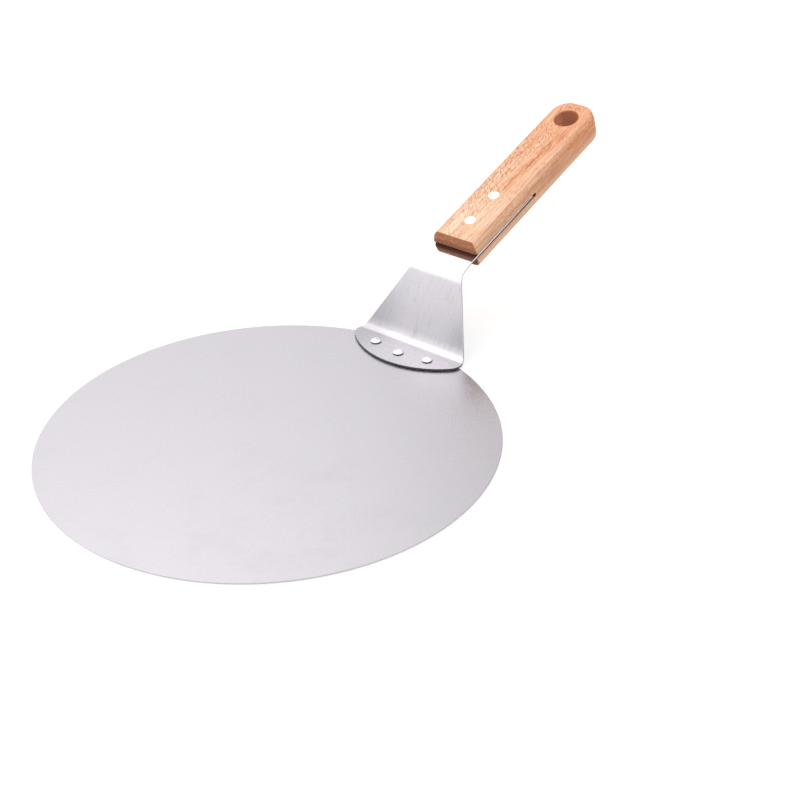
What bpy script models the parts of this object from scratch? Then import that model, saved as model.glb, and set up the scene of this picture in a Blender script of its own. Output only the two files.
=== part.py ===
"""A cake lifter: a round steel blade, a folded steel neck and a one-piece wooden handle.

Everything is in metres with +Z up. The origin is the centre of the blade's underside,
the handle points along +Y and the lifter is the same on both sides of X = 0.
"""

import math

import bmesh
import bpy
import numpy as np
from mathutils import Vector

# Clearances that every fit shares
fit_gap = 0.0003
cut_overrun = 0.004
weld_distance = 0.000001

# Blade: a flat disc of spring-hard sheet
blade_diameter = 0.255
blade_thickness = 0.0008
blade_rim_ease = 0.0002

# Neck: one blank of thicker sheet, folded at the heel and again at the shoulder
neck_thickness = 0.0012
neck_edge_ease = 0.0002
flange_reach = 0.0259
heel_setback = 0.0004
heel_width = 0.0746
heel_radius = 0.004
heel_angle = math.radians(57.8)
nose_radius = 0.053
flange_corner_radius = 0.008
slope_length = 0.0464
shoulder_width = 0.0352
shoulder_radius = 0.008
shoulder_blend_radius = 0.035
tang_exposed = 0.0174
tang_insert = 0.0615
tang_corner_radius = 0.0012

# Rivets that hold the neck to the blade
blade_rivet_spacing = 0.0193
blade_rivet_setback = 0.0111
blade_rivet_bow = 0.0029
blade_rivet_head_radius = 0.003
blade_rivet_head_height = 0.0011
blade_rivet_head_rim = 0.0003
blade_rivet_shank_radius = 0.0016
blade_rivet_tail_radius = 0.0022
blade_rivet_tail_height = 0.0005

# Handle: a wooden bar with a saw kerf, a rounded end and a hanging hole
handle_tilt = math.radians(17.2)
handle_length = 0.14
handle_width = 0.032
handle_thickness = 0.018
handle_chamfer = 0.0027
handle_side_radius = 0.004
handle_front_chamfer = 0.0029
handle_corner_radius = 0.001
handle_corner_face_radius = 0.0048
handle_end_radius = 0.012
handle_end_top_roll = 0.001
handle_end_under_roll = 0.005
handle_edge_ease = 0.0003
kerf_depth = 0.0637
kerf_slack = 0.0006
hang_hole_radius = 0.0077
hang_hole_from_end = 0.0155
hang_hole_flare = 0.0005

# Two-part rivets that hold the handle to the tang
handle_rivet_setback = 0.0192
handle_rivet_pitch = 0.0249
handle_rivet_head_radius = 0.0035
handle_rivet_head_height = 0.0012
handle_rivet_barrel_radius = 0.0025
handle_rivet_pin_radius = 0.0015
handle_rivet_pin_length = 0.011

# How finely the round shapes are cut into flats
blade_steps = 180
turned_steps = 32
dome_steps = 5
nose_steps = 22
corner_steps = 8
fold_steps = 8
end_steps = 12
roll_steps = 4
hole_steps = 48
smooth_angle = math.radians(32)

# Finishes: linear base colour, roughness and metallic value
blade_finish = ((0.74, 0.71, 0.75), 0.34, 1.0)
neck_finish = ((0.66, 0.63, 0.67), 0.27, 1.0)
blade_rivet_finish = ((0.86, 0.85, 0.87), 0.16, 1.0)
handle_rivet_finish = ((0.90, 0.90, 0.91), 0.22, 1.0)
wood_finish = ((0.86, 0.56, 0.36), 0.55, 0.0)

# Places worked out from the sizes above
blade_radius = blade_diameter / 2
nose_y = blade_radius - flange_reach
flange_height = blade_thickness + fit_gap
flange_top = flange_height + neck_thickness
heel_run = flange_reach - heel_setback
shoulder_angle = heel_angle - handle_tilt
heel_trim = heel_radius * math.tan(heel_angle / 2)
shoulder_trim = shoulder_radius * math.tan(shoulder_angle / 2)
kerf_thickness = fit_gap + neck_thickness + kerf_slack
kerf_drop = (kerf_slack - fit_gap) / 2


def clear_scene():
    for obj in list(bpy.data.objects):
        bpy.data.objects.remove(obj, do_unlink=True)


def make_material(name, finish):
    colour, roughness, metallic = finish
    material = bpy.data.materials.new(name)
    material.use_nodes = True
    shader = material.node_tree.nodes["Principled BSDF"]
    shader.inputs["Base Color"].default_value = (*colour, 1)
    shader.inputs["Roughness"].default_value = roughness
    shader.inputs["Metallic"].default_value = metallic
    material.diffuse_color = (*colour, 1)
    return material


def make_empty(name, location, tilt):
    empty = bpy.data.objects.new(name, None)
    empty.location = location
    empty.rotation_euler = (tilt, 0, 0)
    bpy.context.scene.collection.objects.link(empty)
    return empty


def make_object(name, bm, parent=None, location=(0, 0, 0), material=None):
    """Turn a bmesh into an object, with its faces outward and its round stretches smooth."""
    bmesh.ops.recalc_face_normals(bm, faces=bm.faces)
    mesh = bpy.data.meshes.new(name)
    bm.to_mesh(mesh)
    bm.free()
    mesh.shade_smooth()
    mesh.set_sharp_from_angle(angle=smooth_angle)
    if material:
        mesh.materials.append(material)
    obj = bpy.data.objects.new(name, mesh)
    obj.parent = parent
    obj.location = location
    bpy.context.scene.collection.objects.link(obj)
    return obj


def make_cutter(name, bm, parent=None, location=(0, 0, 0)):
    cutter = make_object(name, bm, parent, location)
    cutter.hide_render = True
    cutter.display_type = "WIRE"
    return cutter


def cut_away(obj, cutters):
    for cutter in cutters:
        modifier = obj.modifiers.new("cut " + cutter.name, "BOOLEAN")
        modifier.operation = "DIFFERENCE"
        modifier.solver = "EXACT"
        modifier.object = cutter


def ease_edges(obj, width):
    """Break the sharp edges, as deburring and sanding do."""
    modifier = obj.modifiers.new("eased edges", "BEVEL")
    modifier.limit_method = "ANGLE"
    modifier.angle_limit = smooth_angle
    modifier.width = width
    modifier.segments = 1


def even_shading(obj):
    """Let the large faces set the shading, so that an eased edge doesn't darken the flat beside it."""
    modifier = obj.modifiers.new("even shading", "WEIGHTED_NORMAL")
    modifier.keep_sharp = True


def arc(centre, radius, start, end, steps):
    """Points on an arc from the start angle to the end angle, both ends included."""
    turns = [start + (end - start) * i / steps for i in range(steps + 1)]
    return [Vector((centre[0] + radius * math.cos(a), centre[1] + radius * math.sin(a))) for a in turns]


def turned(profile, steps):
    """Spin a profile of (radius, height) points, which starts and ends on the axis, about local Z."""
    bm = bmesh.new()
    verts = [bm.verts.new((radius, 0, height)) for radius, height in profile]
    edges = [bm.edges.new(pair) for pair in zip(verts, verts[1:])]
    bmesh.ops.spin(
        bm,
        geom=verts + edges,
        cent=(0, 0, 0),
        axis=(0, 0, 1),
        angle=math.tau,
        steps=steps,
        use_merge=True,
    )
    bmesh.ops.remove_doubles(bm, verts=bm.verts, dist=weld_distance)
    return bm


def extruded(outline, direction):
    """Make a closed prism: the outline's 3-D points, swept along a vector."""
    bm = bmesh.new()
    face = bm.faces.new([bm.verts.new(point) for point in outline])
    swept = bmesh.ops.extrude_face_region(bm, geom=[face])["geom"]
    verts = [item for item in swept if isinstance(item, bmesh.types.BMVert)]
    bmesh.ops.translate(bm, verts=verts, vec=direction)
    return bm


def rounded_corner(before, corner, after, radius, steps):
    """The arc that replaces a corner between two straight sides."""
    inward = (before - corner).normalized()
    outward = (after - corner).normalized()
    half = inward.angle(outward) / 2
    middle = corner + (inward + outward).normalized() * radius / math.sin(half)
    reach = radius / math.tan(half)
    first = corner + inward * reach - middle
    last = corner + outward * reach - middle
    start = math.atan2(first.y, first.x)
    turn = first.angle_signed(last)
    return arc(middle, radius, start, start - turn, steps)


def neck_stretches():
    """The centre line of the neck's sheet from its nose to its tang's end, as (length, turn)."""
    return (
        (heel_run - heel_trim, 0),
        (heel_radius * heel_angle, heel_angle),
        (slope_length - heel_trim - shoulder_trim, 0),
        (shoulder_radius * shoulder_angle, -shoulder_angle),
        (tang_exposed + tang_insert - shoulder_trim, 0),
    )


def neck_point(along, height):
    """Where a point of the flat blank ends up once it is folded, as (y, z)."""
    place = Vector((nose_y, flange_height + neck_thickness / 2))
    heading = 0
    for length, turn in neck_stretches():
        travel = min(along, length)
        bend = turn * travel / length
        chord = travel if not turn else 2 * length / turn * math.sin(bend / 2)
        place += chord * Vector((math.cos(heading + bend / 2), math.sin(heading + bend / 2)))
        heading += bend
        along -= travel
        if along <= 0:
            break
    return place + height * Vector((-math.sin(heading), math.cos(heading)))


def neck_marks():
    """Distances along the blank at which each stretch of the neck ends."""
    marks = []
    for length, _ in neck_stretches():
        marks.append(length + (marks[-1] if marks else 0))
    return marks


def neck_outline():
    """The right half of the flat blank as (along, half width) points, from nose to tang end."""
    marks = neck_marks()
    heel = (marks[0] + marks[1]) / 2
    shoulder = (marks[2] + marks[3]) / 2
    end = marks[4]
    tang_half = handle_width / 2
    taper = math.atan2((heel_width - shoulder_width) / 2, shoulder - heel)
    # Unit normal of the tapered side, which points out of the sheet
    side = Vector((math.sin(taper), math.cos(taper)))
    side_reach = side.dot(Vector((heel, heel_width / 2)))

    # The flange's corner touches the nose arc from inside and the tapered side
    nose_centre = Vector((nose_radius, 0))
    rise = side_reach - side.dot(nose_centre) - flange_corner_radius
    drop = math.sqrt((nose_radius - flange_corner_radius) ** 2 - rise**2)
    corner_centre = nose_centre + rise * side - drop * Vector((side.y, -side.x))
    toward = corner_centre - nose_centre
    meet = math.atan2(toward.y, toward.x)
    side_turn = math.atan2(side.y, side.x)
    points = arc(nose_centre, nose_radius, math.pi, meet, nose_steps)
    points += arc(corner_centre, flange_corner_radius, meet, side_turn, corner_steps)[1:]

    # The shoulder runs from the tapered side into the parallel tang
    elbow_along = (side_reach - side.y * tang_half) / side.x
    elbow = Vector((elbow_along, tang_half))
    tang_end = Vector((end, tang_half))
    points += rounded_corner(points[-1], elbow, tang_end, shoulder_blend_radius, corner_steps)
    centre_end = Vector((end, 0))
    points += rounded_corner(points[-1], tang_end, centre_end, tang_corner_radius, corner_steps // 2)
    return points


def neck_stations(outline):
    """The outline's points with the two folds' slices added, as (along, half width)."""
    marks = neck_marks()
    slices = []
    for start, end in ((marks[0], marks[1]), (marks[2], marks[3])):
        slices += [start + (end - start) * i / fold_steps for i in range(fold_steps + 1)]
    stations = []
    for first, last in zip(outline, outline[1:]):
        stations.append((first.x, first.y))
        inside = [along for along in slices if first.x < along < last.x]
        for along in inside:
            share = (along - first.x) / (last.x - first.x)
            stations.append((along, first.y + (last.y - first.y) * share))
    stations.append((outline[-1].x, outline[-1].y))
    return stations


def folded_sheet(stations, thickness):
    """Loft the sheet through its stations: top and bottom faces, both edges and the tang's end."""
    bm = bmesh.new()
    rows = []
    for along, half in stations:
        row = []
        for x, height in ((-half, 1), (half, 1), (half, -1), (-half, -1)):
            y, z = neck_point(along, height * thickness / 2)
            row.append(bm.verts.new((x, y, z)))
        rows.append(row)
    for row, after in zip(rows, rows[1:]):
        for i in range(len(row)):
            j = (i + 1) % len(row)
            bm.faces.new((row[i], row[j], after[j], after[i]))
    bm.faces.new(rows[0])
    bm.faces.new(rows[-1])
    bmesh.ops.remove_doubles(bm, verts=bm.verts, dist=weld_distance)
    return bm


def blade_rivet_places():
    """Each blade rivet's name and its place on the flange: the outer two sit a little further back."""
    middle_y = nose_y + blade_rivet_setback
    outer_y = middle_y + blade_rivet_bow
    return (
        ("left", (-blade_rivet_spacing, outer_y, 0)),
        ("middle", (0, middle_y, 0)),
        ("right", (blade_rivet_spacing, outer_y, 0)),
    )


def blade_rivet_cutters():
    """Drills through flange and blade, countersunk in the blade's underside a gap clear of each tail."""
    flare = blade_rivet_tail_radius - blade_rivet_shank_radius
    slant = math.hypot(flare, blade_rivet_tail_height)
    mouth = blade_rivet_tail_radius + fit_gap * slant / blade_rivet_tail_height
    throat = blade_rivet_shank_radius + fit_gap
    sink = (mouth - throat) * blade_rivet_tail_height / flare
    above = flange_top + cut_overrun
    profile = [
        (0, -cut_overrun),
        (mouth, -cut_overrun),
        (mouth, 0),
        (throat, sink),
        (throat, above),
        (0, above),
    ]
    cutters = []
    for side, place in blade_rivet_places():
        cutters.append(make_cutter("drill_blade_" + side, turned(profile, turned_steps), None, place))
    return cutters


def make_blade(cutters, material):
    bm = bmesh.new()
    bmesh.ops.create_circle(bm, cap_ends=True, segments=blade_steps, radius=blade_radius)
    swept = bmesh.ops.extrude_face_region(bm, geom=bm.faces[:])["geom"]
    verts = [item for item in swept if isinstance(item, bmesh.types.BMVert)]
    bmesh.ops.translate(bm, verts=verts, vec=(0, 0, blade_thickness))
    blade = make_object("blade", bm, material=material)
    ease_edges(blade, blade_rim_ease)
    cut_away(blade, cutters)
    even_shading(blade)
    return blade


def make_neck(cutters, material):
    sheet = folded_sheet(neck_stations(neck_outline()), neck_thickness)
    neck = make_object("neck", sheet, material=material)
    ease_edges(neck, neck_edge_ease)
    cut_away(neck, cutters)
    even_shading(neck)
    return neck


def make_blade_rivets(material):
    """Solid rivets: a low domed head on the flange and a countersunk tail flush with the blade's underside."""
    seat = flange_top + fit_gap
    rise = blade_rivet_head_height - blade_rivet_head_rim
    dome_radius = (blade_rivet_head_radius**2 + rise**2) / (2 * rise)
    dome_centre = (0, seat + blade_rivet_head_height - dome_radius)
    rim_turn = math.acos(blade_rivet_head_radius / dome_radius)
    dome = arc(dome_centre, dome_radius, math.pi / 2, rim_turn, dome_steps)
    profile = [tuple(point) for point in dome]
    profile += [
        (blade_rivet_head_radius, seat),
        (blade_rivet_shank_radius, seat),
        (blade_rivet_shank_radius, blade_rivet_tail_height),
        (blade_rivet_tail_radius, 0),
        (0, 0),
    ]
    profile[0] = (0, seat + blade_rivet_head_height)
    for side, place in blade_rivet_places():
        make_object("blade_rivet_" + side, turned(profile, turned_steps), None, place, material)


def make_tang_frame():
    """An empty where the tang's middle plane enters the handle, tilted as the handle is."""
    y, z = neck_point(neck_marks()[-1] - tang_insert, 0)
    return make_empty("tang_frame", (0, y, z), handle_tilt)


def handle_rivet_places():
    """Each handle rivet's name and its place from the handle's front, on the handle's middle plane."""
    second = handle_rivet_setback + handle_rivet_pitch
    return (
        ("front", (0, handle_rivet_setback, -kerf_drop)),
        ("rear", (0, second, -kerf_drop)),
    )


def handle_rivet_cutters(frame):
    """Stepped drills: a clear hole for the barrel, and a counterbore for each head."""
    face = handle_thickness / 2
    floor = face - handle_rivet_head_height - fit_gap
    wide = handle_rivet_head_radius + fit_gap
    narrow = handle_rivet_barrel_radius + fit_gap
    outside = face + cut_overrun
    profile = [
        (0, -outside),
        (wide, -outside),
        (wide, -floor),
        (narrow, -floor),
        (narrow, floor),
        (wide, floor),
        (wide, outside),
        (0, outside),
    ]
    cutters = []
    for end, place in handle_rivet_places():
        cutters.append(make_cutter("drill_handle_" + end, turned(profile, turned_steps), frame, place))
    return cutters


def make_handle_rivets(frame, material):
    """Cutler's rivets: a headed barrel from above, and a headed pin pressed into it from below."""
    face = handle_thickness / 2
    inner = face - handle_rivet_head_height
    barrel_end = -inner + fit_gap
    bore = handle_rivet_pin_radius + fit_gap
    bore_top = -inner + handle_rivet_pin_length + fit_gap
    barrel = [
        (0, face),
        (handle_rivet_head_radius, face),
        (handle_rivet_head_radius, inner),
        (handle_rivet_barrel_radius, inner),
        (handle_rivet_barrel_radius, barrel_end),
        (bore, barrel_end),
        (bore, bore_top),
        (0, bore_top),
    ]
    pin = [
        (0, handle_rivet_pin_length - inner),
        (handle_rivet_pin_radius, handle_rivet_pin_length - inner),
        (handle_rivet_pin_radius, -inner),
        (handle_rivet_head_radius, -inner),
        (handle_rivet_head_radius, -face),
        (0, -face),
    ]
    for end, place in handle_rivet_places():
        for half, profile in (("barrel", barrel), ("pin", pin)):
            name = "handle_rivet_" + end + "_" + half
            make_object(name, turned(profile, turned_steps), frame, place, material)


def side_profile():
    """How far the long sides stand in, as (drop from the face, inset): a chamfer with a soft foot."""
    half_height = handle_thickness / 2
    top = Vector((0, handle_chamfer))
    foot = Vector((handle_chamfer, 0))
    middle = Vector((half_height, 0))
    slope = (foot - top).normalized()
    eased = [top + Vector((0, handle_edge_ease)), top + slope * handle_edge_ease]
    return eased + rounded_corner(top, foot, middle, handle_side_radius, corner_steps // 2) + [middle]


def front_profile():
    """How far the front stands in, as (drop from the face, inset): a bevel with eased edges."""
    top = Vector((0, handle_front_chamfer))
    foot = Vector((handle_front_chamfer, 0))
    slope = (foot - top).normalized()
    eased_top = [top + Vector((0, handle_edge_ease)), top + slope * handle_edge_ease]
    eased_foot = [foot - slope * handle_edge_ease, foot + Vector((handle_edge_ease, 0))]
    return eased_top + eased_foot


def end_profile(roll):
    """How far the rounded end stands in, as (drop from the face, inset): a quarter round."""
    return arc((roll, roll), roll, math.pi, math.pi * 3 / 2, roll_steps)


def inset_at(profile, drop):
    return float(np.interp(drop, [point.x for point in profile], [point.y for point in profile]))


def handle_slice(height, side, front, end):
    """One level outline of the handle, from its front round its end, with these three insets.

    The front corners are sanded rounder toward the top and the underside than beside the kerf.
    """
    half_width = handle_width / 2 - side
    spread = abs(height) / (handle_thickness / 2)
    rounding = handle_corner_radius + (handle_corner_face_radius - handle_corner_radius) * spread
    corner = max(rounding - side - front, handle_edge_ease)
    right = arc((half_width - corner, front + corner), corner, -math.pi / 2, 0, corner_steps // 2)
    centre = Vector((handle_width / 2 - handle_end_radius, handle_length - handle_end_radius))
    for i in range(end_steps + 1):
        turn = math.pi / 2 * i / end_steps
        reach = Vector((handle_end_radius - side, handle_end_radius - end))
        right.append(centre + Vector((reach.x * math.cos(turn), reach.y * math.sin(turn))))
    left = [Vector((-point.x, point.y)) for point in reversed(right)]
    return [Vector((point.x, point.y, height)) for point in right + left]


def handle_slices():
    """Level outlines from the handle's underside up to its top, wherever one of its profiles turns."""
    half_height = handle_thickness / 2
    halves = []
    for face, roll in ((-1, handle_end_under_roll), (1, handle_end_top_roll)):
        profiles = (side_profile(), front_profile(), end_profile(roll))
        drops = sorted({round(point.x / weld_distance) for profile in profiles for point in profile})
        half = []
        for drop in [mark * weld_distance for mark in drops]:
            insets = [inset_at(profile, drop) for profile in profiles]
            half.append(handle_slice(face * (half_height - drop), *insets))
        halves.append(half)
    lower, upper = halves
    return lower[:-1] + upper[::-1]


def handle_blank():
    """The bar: chamfered along its sides, bevelled at the front, rounded and rolled at the end."""
    bm = bmesh.new()
    rings = [[bm.verts.new(point) for point in outline] for outline in handle_slices()]
    for ring, above in zip(rings, rings[1:]):
        for i in range(len(ring)):
            j = (i + 1) % len(ring)
            bm.faces.new((ring[i], ring[j], above[j], above[i]))
    bm.faces.new(rings[0])
    bm.faces.new(rings[-1])
    return bm


def kerf_cutter(frame):
    """The saw kerf that takes the tang: it starts ahead of the handle and runs right across it."""
    half_span = handle_width / 2 + cut_overrun
    half_height = kerf_thickness / 2
    outline = [
        Vector((-half_span, -cut_overrun, -half_height)),
        Vector((half_span, -cut_overrun, -half_height)),
        Vector((half_span, -cut_overrun, half_height)),
        Vector((-half_span, -cut_overrun, half_height)),
    ]
    bm = extruded(outline, Vector((0, cut_overrun + kerf_depth, 0)))
    return make_cutter("saw_kerf", bm, frame, (0, 0, -kerf_drop))


def hang_hole_cutter(frame):
    """A drill for the hanging hole, flared where it leaves each face."""
    face = handle_thickness / 2
    outside = face + cut_overrun
    wide = hang_hole_radius + hang_hole_flare
    profile = [
        (0, -outside),
        (wide, -outside),
        (wide, -face),
        (hang_hole_radius, hang_hole_flare - face),
        (hang_hole_radius, face - hang_hole_flare),
        (wide, face),
        (wide, outside),
        (0, outside),
    ]
    place = (0, handle_length - hang_hole_from_end, -kerf_drop)
    return make_cutter("drill_hang_hole", turned(profile, hole_steps), frame, place)


def make_handle(frame, rivet_cutters, material):
    handle = make_object("handle", handle_blank(), frame, (0, 0, -kerf_drop), material)
    cut_away(handle, [kerf_cutter(frame), hang_hole_cutter(frame)] + rivet_cutters)
    even_shading(handle)
    return handle


def main():
    clear_scene()
    frame = make_tang_frame()
    blade_drills = blade_rivet_cutters()
    handle_drills = handle_rivet_cutters(frame)
    make_blade(blade_drills, make_material("blade_steel", blade_finish))
    make_neck(blade_drills + handle_drills, make_material("neck_steel", neck_finish))
    make_blade_rivets(make_material("blade_rivet_steel", blade_rivet_finish))
    make_handle(frame, handle_drills, make_material("handle_wood", wood_finish))
    make_handle_rivets(frame, make_material("handle_rivet_metal", handle_rivet_finish))


main()
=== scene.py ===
"""A round cake lifter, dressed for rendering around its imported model.

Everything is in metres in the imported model's own frame: the origin is the centre of the
blade's underside, the handle points along +Y and +Z is up.
"""

import math
from collections import namedtuple

import bmesh
import bpy
from mathutils import Matrix, Vector


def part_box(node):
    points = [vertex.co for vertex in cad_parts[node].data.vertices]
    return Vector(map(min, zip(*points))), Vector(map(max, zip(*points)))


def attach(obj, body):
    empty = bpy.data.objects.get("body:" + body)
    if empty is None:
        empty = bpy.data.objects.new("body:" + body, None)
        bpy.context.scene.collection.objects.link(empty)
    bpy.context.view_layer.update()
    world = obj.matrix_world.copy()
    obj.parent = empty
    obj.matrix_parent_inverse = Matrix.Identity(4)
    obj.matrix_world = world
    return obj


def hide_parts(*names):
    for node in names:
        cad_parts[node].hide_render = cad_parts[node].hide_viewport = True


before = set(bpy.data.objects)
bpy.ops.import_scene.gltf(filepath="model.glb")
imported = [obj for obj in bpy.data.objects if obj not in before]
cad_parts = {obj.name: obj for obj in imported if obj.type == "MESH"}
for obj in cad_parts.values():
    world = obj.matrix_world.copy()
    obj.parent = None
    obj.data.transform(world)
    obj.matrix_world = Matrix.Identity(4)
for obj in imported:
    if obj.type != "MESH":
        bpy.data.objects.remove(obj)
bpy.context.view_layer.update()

bl_info = {
    "name": "Cake Lifter",
    "version": (1, 0, 0),
    "blender": (4, 5, 0),
    "location": "View3D > Sidebar > Cake Lifter",
    "description": "Dresses a round cake lifter with satin steel, brushed steel and oiled wood",
    "category": "Object",
}

# The handle's own directions: along it from front to end, and up through its top
handle_tilt = math.radians(17.2)
handle_axis = Vector((0, math.cos(handle_tilt), math.sin(handle_tilt)))
handle_up = Vector((0, -math.sin(handle_tilt), math.cos(handle_tilt)))

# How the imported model's loose triangles are joined again, and which of their angles look smooth
weld_distance = 0.000002
flat_angle = math.radians(0.4)
smooth_angle = math.radians(32)
edge_smooth_angle = math.radians(52)

# Which faces count as cut edges, and as walls of the handle's kerf
edge_normal_share = 0.5
flange_edge_top = 0.0024
heel_start = 0.12
kerf_half_height = 0.0018
kerf_past_rivet = 0.03

# The kerf's mouth at the handle's front: where the wood is cut so that it can bend, which corners
# are taken back, how far in from the front they are looked for, and how far back they go
mouth_height = 0.0022
mouth_edge = 0.0012
mouth_reach = 0.005
mouth_setback = 0.0014

# The neck's centre line, as (y, z) corners and headings, and its two folds' radii:
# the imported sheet's, and the softer ones that the press leaves
sheet_half = 0.0006
slope_angle = math.radians(57.8)
slope_length = 0.0464
slope_heading = Vector((math.cos(slope_angle), math.sin(slope_angle)))
heel_corner = Vector((0.1271, 0.0017))
shoulder_corner = heel_corner + slope_length * slope_heading
packed_heel_radius = 0.004
packed_shoulder_radius = 0.008
soft_heel_radius = 0.0062
soft_shoulder_radius = 0.0088
fold_cuts = 16
tang_length = 0.0789

# How the slope runs gently into each fold: how far from the fold it starts and how far inward the
# sheet has moved where the fold begins, and how far into a fold the move fades away
heel_run_in = (0.0042, 0.00022)
shoulder_run_in = (0.0014, 0.00006)
run_in_fade = 0.006

# How much of the sheared edge's bright upper part is left at the flange and at the tang's far end;
# the rest is dark, as painted shade under the flange's nose and deep in the kerf
nose_bright_share = 0.3
tang_bright_share = 0.5

# The rivet heads as they sit in the wood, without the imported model's clearance
rivet_seat_radius = 0.0034
rivet_seat_inner = 0.0033
rivet_seat_outer = 0.0042


def box_centre(*nodes):
    """The middle of the box that holds these CAD nodes."""
    lows, highs = zip(*[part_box(node) for node in nodes])
    low = Vector([min(values) for values in zip(*lows)])
    high = Vector([max(values) for values in zip(*highs)])
    return (low + high) / 2


rivet_middle = box_centre("blade_rivet_middle")
rivet_right = box_centre("blade_rivet_right")
handle_rivet_front = box_centre("handle_rivet_front_barrel", "handle_rivet_front_pin")
handle_rivet_rear = box_centre("handle_rivet_rear_barrel", "handle_rivet_rear_pin")
handle_middle = box_centre("handle")


# Small helpers for node trees


def node(tree, kind, inputs=None, **settings):
    """Add a node. An input's value is a plain value, or another node's output to link."""
    made = tree.nodes.new(kind)
    for name, value in settings.items():
        setattr(made, name, value)
    for key, value in (inputs or {}).items():
        socket = made.inputs[key]
        if isinstance(value, bpy.types.NodeSocket):
            tree.links.new(value, socket)
        else:
            socket.default_value = value
    return made


def math_node(tree, operation, first, second=0.0, third=0.0):
    made = node(tree, "ShaderNodeMath", {0: first, 1: second, 2: third}, operation=operation)
    return made.outputs[0]


def vector_node(tree, operation, first, second, third=(0, 0, 0), output=0):
    inputs = {0: first, 1: second, 2: third}
    return node(tree, "ShaderNodeVectorMath", inputs, operation=operation).outputs[output]


def tinted(colour, share=1.0):
    """A colour as a shader takes it, darkened or brightened to a share of itself."""
    return (*[value * share for value in colour], 1)


def mix_colour(tree, factor, first, second, blend="MIX"):
    inputs = {0: factor, 6: first, 7: second}
    return node(tree, "ShaderNodeMix", inputs, data_type="RGBA", blend_type=blend).outputs[2]


def laid_over(tree, shade, mask, strength, colour):
    """Lay a colour over a shade where the mask says so."""
    return mix_colour(tree, math_node(tree, "MULTIPLY", mask, strength), shade, tinted(colour))


def mapped(tree, value, from_low, from_high, to_low=0.0, to_high=1.0, easing="SMOOTHSTEP"):
    """Map a value from one range to another, clamped at both ends."""
    inputs = {
        "Value": value,
        "From Min": from_low,
        "From Max": from_high,
        "To Min": to_low,
        "To Max": to_high,
    }
    return node(tree, "ShaderNodeMapRange", inputs, interpolation_type=easing).outputs[0]


def new_group(name, kind, inputs, outputs):
    """Start a node group and return it, what it is given, and its output node."""
    group = bpy.data.node_groups.new(name, kind)
    for label, socket_type, default in inputs:
        socket = group.interface.new_socket(name=label, in_out="INPUT", socket_type=socket_type)
        if default is not None:
            socket.default_value = default
    for label, socket_type in outputs:
        group.interface.new_socket(name=label, in_out="OUTPUT", socket_type=socket_type)
    given = group.nodes.new("NodeGroupInput").outputs
    return group, given, group.nodes.new("NodeGroupOutput")


def place_group(tree, group, inputs):
    """Use a node group and return its one output."""
    return node(tree, "ShaderNodeGroup", inputs, node_tree=group).outputs[0]


# Effects that several finishes share

grain_noise_roughness = 0.6
broad_share = 0.65
broad_detail = 3.0
finer_clouds = 6.0
fine_detail = 4.0
fine_distortion = 0.6


def grain_group():
    """Noise drawn out along one direction: a brushed line in steel, or a fibre in wood."""
    group, given, result = new_group(
        "Drawn grain",
        "ShaderNodeTree",
        [
            ("Vector", "NodeSocketVector", None),
            ("Lines per metre", "NodeSocketVector", (1000, 20, 1000)),
            ("Detail", "NodeSocketFloat", 4.0),
            ("Low", "NodeSocketFloat", 0.3),
            ("High", "NodeSocketFloat", 0.7),
        ],
        [("Mask", "NodeSocketFloat")],
    )
    drawn = vector_node(group, "MULTIPLY", given["Vector"], given["Lines per metre"])
    settings = {
        "Vector": drawn,
        "Scale": 1.0,
        "Detail": given["Detail"],
        "Roughness": grain_noise_roughness,
    }
    noise = node(group, "ShaderNodeTexNoise", settings)
    mask = mapped(group, noise.outputs["Fac"], given["Low"], given["High"])
    group.links.new(mask, result.inputs["Mask"])
    return group


def handling_group():
    """Soft clouds broken up by finer ones: the smudges that hands and cloths leave."""
    group, given, result = new_group(
        "Handling marks",
        "ShaderNodeTree",
        [
            ("Vector", "NodeSocketVector", None),
            ("Clouds per metre", "NodeSocketFloat", 30.0),
            ("Low", "NodeSocketFloat", 0.45),
            ("High", "NodeSocketFloat", 0.75),
        ],
        [("Mask", "NodeSocketFloat")],
    )
    here = given["Vector"]
    scale = given["Clouds per metre"]
    broad = node(group, "ShaderNodeTexNoise", {"Vector": here, "Scale": scale, "Detail": broad_detail})
    settings = {
        "Vector": here,
        "Scale": math_node(group, "MULTIPLY", scale, finer_clouds),
        "Detail": fine_detail,
        "Distortion": fine_distortion,
    }
    fine = node(group, "ShaderNodeTexNoise", settings)
    clouds = math_node(group, "MULTIPLY", broad.outputs["Fac"], broad_share)
    clouds = math_node(group, "MULTIPLY_ADD", fine.outputs["Fac"], 1 - broad_share, clouds)
    mask = mapped(group, clouds, given["Low"], given["High"])
    group.links.new(mask, result.inputs["Mask"])
    return group


def start_material(name):
    """A material with its shader and the piece's own coordinates."""
    material = bpy.data.materials.new(name)
    material.use_nodes = True
    tree = material.node_tree
    shader = tree.nodes["Principled BSDF"]
    place = tree.nodes.new("ShaderNodeTexCoord")
    return material, tree, shader, place


# How each steel is finished: its roughness; the lines per metre along X, Y and Z of its grain and
# its smudges; how much grain, smudges and broad marks darken it; and how deep the grain is
SteelLook = namedtuple("SteelLook", "roughness lines smudges grain_shade smudge_shade marks_shade depth")
satin_sheet = SteelLook(0.28, (1500, 1500, 1500), (60, 14, 60), 0.012, 0.02, 0.02, 1e-7)
brushed_sheet = SteelLook(0.27, (1600, 60, 60), (230, 75, 75), 0.025, 0.13, 0.05, 2e-7)
polished_dome = SteelLook(0.38, (900, 900, 900), (300, 300, 300), 0.02, 0.0, 0.02, 1e-6)
ground_disc = SteelLook(0.3, (1500, 1500, 1500), (300, 300, 300), 0.03, 0.0, 0.03, 2e-6)
smudge_low = 0.54
smudge_high = 0.82
grain_roughness_share = 0.1
marks_roughness = 0.05
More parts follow.
